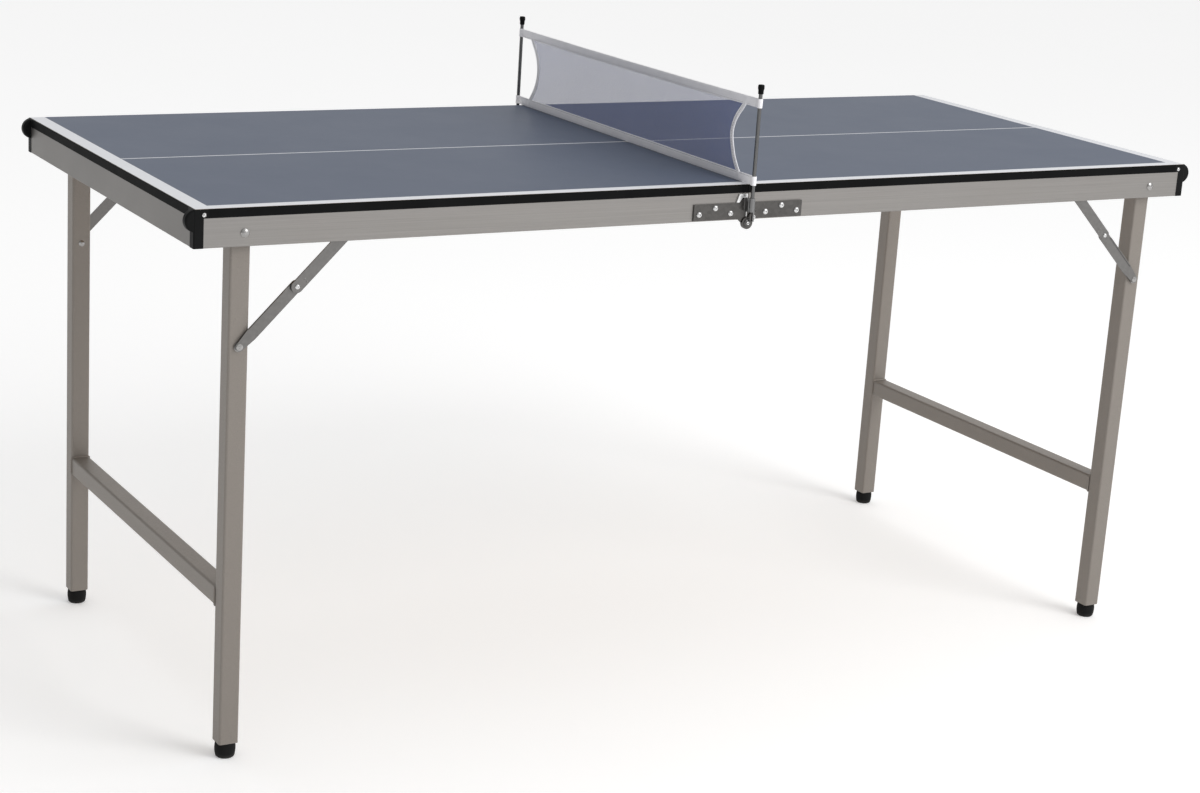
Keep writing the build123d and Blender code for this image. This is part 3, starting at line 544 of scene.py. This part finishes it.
# ---------------------------------------------------------------- rivets and screws
def rivet_profile(radius, height):
    """Domed tubular rivet head with a sunk middle."""
    return (
        (radius * 0.08, height * 0.45),
        (radius * 0.24, height * 0.45),
        (radius * 0.30, height * 0.86),
        (radius * 0.40, height * 0.98),
        (radius * 0.58, height * 0.95),
        (radius * 0.78, height * 0.76),
        (radius * 0.93, height * 0.46),
        (radius, height * 0.16),
        (radius * 0.99, 0.0),
        (radius * 0.50, 0.0),
    )


def hinge_rivets(side):
    """Detailed heads and tails in place of one side's hinge rivets."""
    body = "half_left" if side == "left" else "half_right"
    node = f"hinge_rivets_{side}"
    shape = Shape()
    plate_face = box_mm(f"hinge_plate_far_{side}")[0].y + HINGE_THICKNESS
    for x, z in rivet_places(node):
        for face in (-1, 1):
            head = facing((x, face * plate_face, z), (0, face, 0))
            tail = facing((x, face * RAIL_INNER, z), (0, -face, 0))
            shape.lathe(head, rivet_profile(4.0, 2.3), segments=28)
            shape.lathe(tail, rivet_profile(3.2, 1.2), segments=20)
    shape.build(f"rivet_heads_{side}", body, ["rivet"], [node])


def rivet_places(node):
    """Centres of the rivets on the near side, from the CAD mesh."""
    points = [vertex.co / MM for vertex in frame["nodes"][node].data.vertices if vertex.co.y < 0]
    low_y = min(point.y for point in points)
    tops = [point for point in points if point.y < low_y + 0.05]
    centres = []
    for point in sorted(tops, key=lambda p: p.x):
        if not centres or point.x - centres[-1][-1].x > RIVET_SPACING:
            centres.append([])
        centres[-1].append(point)
    return [
        (sum(p.x for p in group) / len(group), sum(p.z for p in group) / len(group))
        for group in centres
    ]


def ear_rivets():
    """Small bright rivets at the inner corners of the right hinge plates."""
    seat = box_mm("hinge_plate_far_right")[1].y
    x, z = EAR_RIVET
    shape = Shape()
    for face in (-1, 1):
        shape.lathe(facing((x, face * seat, z), (0, face, 0)), rivet_profile(3.3, 1.9), segments=28)
    shape.build("ear_rivet_heads", "half_right", ["rivet"])


def stay_rivets(node, body):
    """Bright eyelet over the middle rivet of one stay."""
    points = [vertex.co / MM for vertex in frame["nodes"][node].data.vertices]
    reach = max(abs(point.y) for point in points)
    crown = [point for point in points if abs(point.y) > reach - 0.2]
    middle = sum(crown, Vector()) / len(crown)
    face = math.copysign(1.0, middle.y)
    seat = Vector((middle.x, face * (reach - STAY_RIVET_HEAD), middle.z))
    profile = (
        (0.3, 1.02), (0.9, 1.02), (1.3, 1.5), (2.0, 1.45),
        (2.8, 1.05), (3.2, 0.45), (3.2, 0.0), (1.0, 0.0),
    )
    shape = Shape()
    shape.lathe(facing(seat, (0, face, 0)), profile, segments=28)
    shape.build(f"{node}_rivet", body, ["rivet"])


def hinge_pin_heads():
    """Fold pins: dark domes with a bright middle, and their shanks."""
    low, high = box_mm("hinge_pins")
    z = (low.z + high.z) / 2
    seat = high.y - PIN_HEAD
    dome = (
        (2.1, 1.65), (2.3, 1.75), (3.4, 1.55), (4.6, 1.15),
        (5.3, 0.6), (5.5, 0.2), (5.4, 0.0), (1.0, 0.0),
    )
    eyelet = ((0.4, 1.1), (0.8, 1.15), (1.0, 2.0), (1.5, 2.15), (2.0, 1.95), (2.2, 1.5), (1.8, 0.3))
    top = seat - RAIL_INNER + 0.1
    shank = ((0.5, -1.0), (3.2, -1.0), (4.1, -0.6), (4.1, 2.0), (3.2, 2.0), (3.2, top), (0.5, top))
    shape = Shape()
    for face in (-1, 1):
        out = facing((0, face * seat, z), (0, face, 0))
        shape.lathe(out, dome, 0, 36)
        shape.lathe(out, eyelet, 1, 28)
        shape.lathe(facing((0, face * RAIL_INNER, z), (0, face, 0)), shank, 1, 28)
    shape.build("fold_pins", "half_left", ["dark_rivet", "rivet"], ["hinge_pins"])


def corner_screws(side):
    """Cross-headed screws that hold the corner caps."""
    body = f"half_{side}"
    node = f"corner_screws_{side}"
    low, high = box_mm(node)
    x, z = (low.x + high.x) / 2, (low.z + high.z) / 2
    radius = (high.z - low.z) / 2
    profile = (
        (0.25, 1.25), (0.8, 1.25), (1.3, 1.2), (1.9, 0.95),
        (radius, 0.35), (radius, 0.0), (1.0, 0.0),
    )
    shape = Shape()
    for face in (-1, 1):
        seat = facing((x, face * (high.y - CAP_SCREW_HEAD), z), (0, face, 0))
        shape.lathe(seat, profile, 0, SCREW_SEGMENTS, cross_cut(1.5, 0.6))
    shape.build(f"cap_screws_{side}", body, ["rivet"], [node])


def underside_screws(side):
    """Pan-headed screws up through the rails and leg brackets into the board."""
    sign = -1 if side == "left" else 1
    low, high = box_mm(f"side_rail_far_{side}")
    face_z = high.z - RAIL_THICKNESS
    bracket_z = high.z - BRACKET_THICKNESS
    rail_y_painted_shade = high.y - SIDE_FLANGE_MIDDLE
    span = abs(high.x - low.x)
    inner = min(abs(high.x), abs(low.x))
    places = []
    for share in SCREW_SHARES:
        places += [(sign * (inner + span * share), y, face_z) for y in (-rail_y_painted_shade, rail_y_painted_shade)]
    end_low, end_high = box_mm(f"end_rail_{side}")
    end_x = sign * (max(abs(end_low.x), abs(end_high.x)) - SIDE_FLANGE_MIDDLE)
    centre_low, centre_high = box_mm(f"centre_rail_{side}")
    centre_x = sign * (max(abs(centre_low.x), abs(centre_high.x)) - CENTRE_FLANGE_MIDDLE)
    for y in CROSS_SCREW_Y:
        places += [(end_x, y, face_z), (centre_x, y, face_z)]
    bracket_low, bracket_high = box_mm(f"leg_brackets_{side}")
    for x in (bracket_low.x + BRACKET_SCREW_INSET, bracket_high.x - BRACKET_SCREW_INSET):
        places += [(x, y, bracket_z) for y in (-BRACKET_SCREW_Y, BRACKET_SCREW_Y)]
    shape = Shape()
    profile = ((0.3, 1.5), (1.0, 1.5), (1.9, 1.4), (2.7, 1.1), (3.2, 0.55), (3.25, 0.0), (1.0, 0.0))
    for place in places:
        shape.lathe(facing(place, (0, 0, -1)), profile, 0, SCREW_SEGMENTS, cross_cut(2.2, 0.7))
    shape.build(f"board_screws_{side}", f"half_{side}", ["rivet"])


# ---------------------------------------------------------------- welds
def weld_beads(side):
    """Fillet weld round each end of the stretcher, a string of overlapping ripples."""
    low, high = box_mm(f"stretcher_{side}")
    centre = (low + high) / 2
    half = (high.z - low.z) / 2
    shape = Shape()
    random.seed(7 if side == "left" else 8)
    for face in (-1, 1):
        path = rounded_square(half + WELD_STANDOFF, TUBE_CORNER, WELD_STEP)
        rings = []
        count = len(path)
        for index in range(count):
            here, ahead = path[index], path[(index + 1) % count]
            along = Vector((ahead[0] - here[0], 0, ahead[1] - here[1])).normalized()
            outward = Vector((along.z, 0, -along.x))
            ripple = 1.0 + 0.22 * math.sin(index * 2.1) + random.uniform(-0.08, 0.08)
            radius = WELD_RADIUS * ripple
            middle = Vector((centre.x + here[0], face * (high.y - 0.15), centre.z + here[1]))
            ring = []
            for step in range(8):
                angle = 2 * math.pi * step / 8
                sideways = Vector((0, 1, 0)) * (radius * 0.9 * math.sin(angle))
                ring.append(middle + outward * (radius * math.cos(angle)) + sideways)
            rings.append(ring)
        rings.append([point.copy() for point in rings[0]])
        shape.loft(rings, caps=False)
    item = shape.build(f"weld_beads_{side}", f"leg_frame_{side}", ["leg"], sharp=80.0)
    work = bmesh.new()
    work.from_mesh(item.data)
    bmesh.ops.remove_doubles(work, verts=work.verts, dist=1e-6)
    work.to_mesh(item.data)
    work.free()


def rounded_square(half, corner, step):
    """Points round a square with round corners, about a step apart."""
    points = []
    straight = half - corner
    for quarter in range(4):
        turn = Matrix.Rotation(quarter * math.pi / 2, 2)
        count = int(2 * straight / step)
        for index in range(count):
            points.append(turn @ Vector((half, -straight + 2 * straight * index / count)))
        for index in range(4):
            angle = math.pi / 2 * index / 4
            points.append(
                turn @ Vector((straight + corner * math.cos(angle), straight + corner * math.sin(angle)))
            )
    return points


# ---------------------------------------------------------------- net
def net_post_y():
    """Distance of the posts' axes from the table's middle, in millimetres."""
    return box_mm("net_post_far")[0].y + POST_RADIUS


def sway(y, z):
    """Small sideways waviness of cloth, in millimetres."""
    return SWAY * noise.noise(Vector((y * 0.011, z * 0.03, 3.7)))


def sag(y, half, depth):
    """Downward bow of a tape between its ends."""
    return -depth * (1 - min(abs(y) / half, 1.0) ** 2)


def tape_rings(bottom, height, reach, flip, droop):
    """Cross sections of a folded tape from post to post.

    The fold is the thick edge and the seam is the groove near the other edge.
    """
    half_profile = (
        (0.00, 0.30), (0.05, 0.62), (0.10, 0.66), (0.15, 0.40), (0.20, 0.66),
        (0.32, 0.82), (0.55, 0.86), (0.80, 0.92), (0.93, 0.74), (0.985, 0.38),
    )
    rings = []
    count = 150
    for index in range(count + 1):
        y = -reach + 2 * reach * index / count
        flare = max(0.0, 1.0 - (reach - abs(y)) / 9.0)
        widen = 1.55 * flare ** 1.6
        lift = sag(y, reach, droop)
        ring = []
        for sign, profile in ((-1, half_profile), (1, tuple(reversed(half_profile)))):
            for share, thick in profile:
                level = 1 - share if flip else share
                z = bottom + height * level + lift
                x = sign * (thick + widen * min(1.0, thick / 0.6))
                ring.append(Vector((x + sway(y, z) * min(1.0, (reach - abs(y)) / 30.0), y, z)))
        rings.append(ring)
    return rings


def sleeve(shape, post_y, bottom, height):
    """Loop of tape round a post, a little uneven."""
    inner, outer = POST_RADIUS + 0.05, POST_RADIUS + TAPE_WALL
    profile = (
        (inner, 0.6), (inner + 0.3, 0.1), (outer - 0.1, 0.15), (outer + 0.05, 1.0),
        (outer - 0.15, 1.8), (outer + 0.08, 2.8), (outer + 0.05, height - 2.0), (outer, height - 0.7),
        (outer - 0.35, height - 0.05), (inner + 0.1, height - 0.2), (inner, height - 0.8),
    )
    rings = []
    for radius, level in profile:
        ring = []
        for step in range(36):
            angle = 2 * math.pi * step / 36
            bulge = 0.12 * math.sin(3 * angle + level * 0.4) if radius > inner + 0.2 else 0.0
            x = (radius + bulge) * math.cos(angle)
            y = post_y + (radius + bulge) * math.sin(angle)
            ring.append(Vector((x, y, bottom + level)))
        rings.append(ring)
    rings.append([point.copy() for point in rings[0]])
    shape.loft(rings, caps=False)


def cross_tape(node, name, flip, droop):
    """Folded tape from post to post, with its two sleeves."""
    low, high = box_mm(node)
    post_y = net_post_y()
    height = high.z - low.z
    shape = Shape()
    shape.loft(tape_rings(low.z, height, post_y - POST_RADIUS - TAPE_GAP, flip, droop))
    for face in (-1, 1):
        sleeve(shape, face * post_y, low.z, height)
    return shape.build(name, "net", ["tape"], [node])


SIDE_TAPE_PATH = (
    (30.0, 1.115), (33.5, 1.04), (38.0, 0.96), (47.0, 0.84), (54.5, 0.70), (58.2, 0.55),
    (57.4, 0.40), (51.8, 0.22), (44.0, 0.08), (38.5, 0.00), (35.0, -0.07), (32.5, -0.115),
)


def side_tape_line(steps):
    """Centre line of a side tape as (distance from the post, share of the open height)."""
    points = [Vector(point) for point in SIDE_TAPE_PATH]
    line = []
    for index in range(steps + 1):
        place = index / steps * (len(points) - 1)
        first = min(int(place), len(points) - 2)
        t = place - first
        before = points[max(first - 1, 0)]
        a, b = points[first], points[first + 1]
        after = points[min(first + 2, len(points) - 1)]
        line.append(
            0.5 * (2 * a + (b - before) * t + (2 * before - 5 * a + 4 * b - after) * t ** 2
                   + (3 * a - before - 3 * b + after) * t ** 3)
        )
    return line


def open_heights():
    """Heights between the two cross tapes, in millimetres."""
    return box_mm("net_bottom_tape")[1].z, box_mm("net_top_tape")[0].z


def side_tapes():
    """Curved folded tapes at the two ends of the netting, lapped over the cross tapes."""
    low, high = open_heights()
    post_y = net_post_y()
    shape = Shape()
    half_profile = (
        (-1.0, 0.30), (-0.9, 0.62), (-0.45, 0.78), (0.0, 0.72), (0.5, 0.80), (0.88, 0.60), (1.0, 0.28),
    )
    for face in (-1, 1):
        line = [(face * (post_y - p.x), low + (high - low) * p.y) for p in side_tape_line(60)]
        rings = []
        for index, (y, z) in enumerate(line):
            back, ahead = line[max(index - 1, 0)], line[min(index + 1, len(line) - 1)]
            along = Vector((0, ahead[0] - back[0], ahead[1] - back[1])).normalized()
            across = Vector((0, -along.z, along.y))
            lap = max(0.0, z - high, low - z)
            thicker = 0.55 * min(1.0, lap / 2.5)
            ring = []
            for sign, profile in ((-1, half_profile), (1, tuple(reversed(half_profile)))):
                for share, thick in profile:
                    x = sign * (thick + thicker) + sway(y, z)
                    ring.append(Vector((x, y, z)) + across * share * SIDE_TAPE_HALF)
            rings.append(ring)
        shape.loft(rings)
    return shape.build("net_end_tapes", "net", ["tape"], ["net_side_tapes"])


def edge_at(level):
    """Distance from the post to the netting's edge, at a share of the open height."""
    line = side_tape_line(60)
    return min(line, key=lambda point: abs(point.y - level)).x


def netting():
    """Thin stretched netting between the tapes, tucked under each by a few millimetres."""
    low, high = open_heights()
    post_y = net_post_y()
    rows, columns = NET_ROWS, NET_COLUMNS
    points, faces = [], []
    area = 0.0
    for row in range(rows + 1):
        z = low - NET_TUCK + (high - low + 2 * NET_TUCK) * row / rows
        half = post_y - edge_at((z - low) / (high - low)) - NET_SHORT
        area += 2 * half * (high - low + 2 * NET_TUCK) / rows * (0.5 if row in (0, rows) else 1.0)
        for column in range(columns + 1):
            y = -half + 2 * half * column / columns
            droop = sag(y, post_y, TOP_SAG) * (z - low) / (high - low)
            points.append(Vector((sway(y, z), y, z + droop)) * MM)
    for row in range(rows):
        for column in range(columns):
            a = row * (columns + 1) + column
            faces.append((a, a + 1, a + columns + 2, a + columns + 1))
    mesh = bpy.data.meshes.new("netting_sheet")
    mesh.from_pydata([tuple(point) for point in points], [], faces)
    mesh.shade_smooth()
    mesh.materials.append(MATERIALS["net"])
    item = new_object("netting_sheet", mesh)
    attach(item, "net")
    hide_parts("netting")
    widest = 2 * (post_y - edge_at(1.0) + NET_SPARE)
    return item, ((high - low + 2 * NET_TUCK) * MM, widest * MM), area * MM * MM


def stitch(shape, middle, along, outward):
    """One stitch: a short bead of thread, half sunk in the tape."""
    across = along.cross(outward)
    rings = []
    for share, thick in ((-1.0, 0.25), (-0.7, 0.8), (0.0, 1.0), (0.7, 0.8), (1.0, 0.25)):
        centre = middle + along * share * STITCH_LENGTH / 2
        rings.append([
            centre + (across * math.cos(angle) + outward * math.sin(angle)) * STITCH_RADIUS * thick
            for angle in (2 * math.pi * step / 6 for step in range(6))
        ])
    shape.loft(rings)


def net_stitching():
    """Rows of stitches along the seams of all the tapes."""
    shape = Shape()
    low, high = open_heights()
    post_y = net_post_y()
    reach = post_y - SEAM_END
    seams = ((high + TAPE_HEIGHT * TAPE_SEAM, TOP_SAG), (low - TAPE_HEIGHT * TAPE_SEAM, 0.0))
    for z, droop in seams:
        count = int(2 * reach / STITCH_PITCH)
        for index in range(count + 1):
            y = -reach + 2 * reach * index / count
            level = z + sag(y, post_y - POST_RADIUS - TAPE_GAP, droop)
            for sign in (-1, 1):
                x = sign * SEAM_FACE + sway(y, level)
                stitch(shape, Vector((x, y, level)), Vector((0, 1, 0)), Vector((sign, 0, 0)))
    for face in (-1, 1):
        line = [
            Vector((0, face * (post_y - p.x), low + (high - low) * p.y)) for p in side_tape_line(240)
        ]
        gone = 0.0
        for here, ahead in zip(line, line[1:]):
            gone += (ahead - here).length
            if gone > STITCH_PITCH and low < here.z < high:
                gone = 0.0
                for sign in (-1, 1):
                    middle = here + Vector((sign * SIDE_SEAM_FACE + sway(here.y, here.z), 0, 0))
                    stitch(shape, middle, (ahead - here).normalized(), Vector((sign, 0, 0)))
    return shape.build("net_stitches", "net", ["stitch"], sharp=60.0)


def post_caps():
    """Moulded caps, wider towards the top."""
    low = box_mm("net_post_caps")[0]
    post_y = net_post_y()
    shape = Shape()
    profile = (
        (2.6, 0.0), (3.3, 0.0), (3.5, 0.4), (3.55, 4.6), (3.75, 5.6), (4.15, 6.6), (4.25, 8.0),
        (4.2, 10.2), (3.95, 11.2), (3.3, 11.85), (2.0, 12.0), (0.5, 12.0),
    )
    for face in (-1, 1):
        shape.lathe(facing((0, face * post_y, low.z), (0, 0, 1)), profile, 0, 40)
    shape.build("net_post_tops", "net", ["post_cap"], ["net_post_caps"])


def make_net():
    """All the cloth of the net, and what is sewn to it."""
    top = cross_tape("net_top_tape", "net_tape_upper", False, TOP_SAG)
    bottom = cross_tape("net_bottom_tape", "net_tape_lower", True, 0.0)
    ends = side_tapes()
    thread = net_stitching()
    sheet, flat, area = netting()


# ---------------------------------------------------------------- studio
def make_floor():
    """Large pale floor under the feet."""
    mesh = bpy.data.meshes.new("floor")
    corner = FLOOR_HALF
    mesh.from_pydata(
        [(-corner, -corner, 0), (corner, -corner, 0), (corner, corner, 0), (-corner, corner, 0)],
        [],
        [(0, 1, 2, 3)],
    )
    mesh.materials.append(MATERIALS["floor"])
    floor = new_object("floor", mesh)


def area_light(name, place, target, size, power):
    """Large soft light aimed at a point."""
    data = bpy.data.lights.new(name, "AREA")
    data.shape = "DISK"
    data.size = size
    data.energy = power
    lamp = new_object(name, data)
    lamp.location = place
    lamp.rotation_mode = "QUATERNION"
    lamp.rotation_quaternion = (Vector(target) - Vector(place)).to_track_quat("-Z", "Y")


def make_light():
    """Bright even room with a soft key light from the front right."""
    world = bpy.data.worlds.new("studio")
    world.use_nodes = True
    tree = world.node_tree
    background = tree.nodes["Background"]
    background.inputs[1].default_value = WORLD_STRENGTH
    direction = add(tree, "ShaderNodeTexCoord").outputs["Generated"]
    rightward = add(tree, "ShaderNodeSeparateXYZ", {0: direction}).outputs[0]
    bright = remap(tree, rightward, WORLD_SHADE_SPAN[0], WORLD_SHADE_SPAN[1])
    colour = blend_colours(tree, bright, grey(WORLD_SHADE), grey(1.0))
    tree.links.new(colour, background.inputs[0])
    bpy.context.scene.world = world
    area_light("key", KEY_PLACE, KEY_TARGET, KEY_SIZE, KEY_POWER)
    bpy.context.scene.view_settings.view_transform = "Standard"


def make_camera():
    """Camera at the object's three-quarter view from the near left."""
    yaw, pitch, roll = (math.radians(a) for a in (CAMERA_YAW, CAMERA_PITCH, CAMERA_ROLL))
    ahead = Vector((-math.sin(yaw) * math.cos(pitch), math.cos(yaw) * math.cos(pitch), math.sin(pitch)))
    right = Vector((math.cos(yaw), math.sin(yaw), 0))
    up = right.cross(ahead)
    x_axis = math.cos(roll) * right + math.sin(roll) * up
    y_axis = -math.sin(roll) * right + math.cos(roll) * up
    data = bpy.data.cameras.new("camera")
    data.lens = CAMERA_LENS
    data.sensor_width = CAMERA_SENSOR
    camera = new_object("camera", data)
    camera.matrix_world = Matrix((
        (x_axis.x, y_axis.x, -ahead.x, CAMERA_PLACE[0]),
        (x_axis.y, y_axis.y, -ahead.y, CAMERA_PLACE[1]),
        (x_axis.z, y_axis.z, -ahead.z, CAMERA_PLACE[2]),
        (0, 0, 0, 1),
    ))
    bpy.context.scene.camera = camera


make_camera()
make_light()
make_floor()
dress_cad_nodes()
for side in ("left", "right"):
    hinge_rivets(side)
    corner_screws(side)
    underside_screws(side)
    weld_beads(side)
hinge_pin_heads()
ear_rivets()
for body, nodes in frame["record"]["behaviour"]["bodies"].items():
    if body.startswith("stay_upper"):
        stay_rivets(nodes[0], body)
post_caps()
make_net()
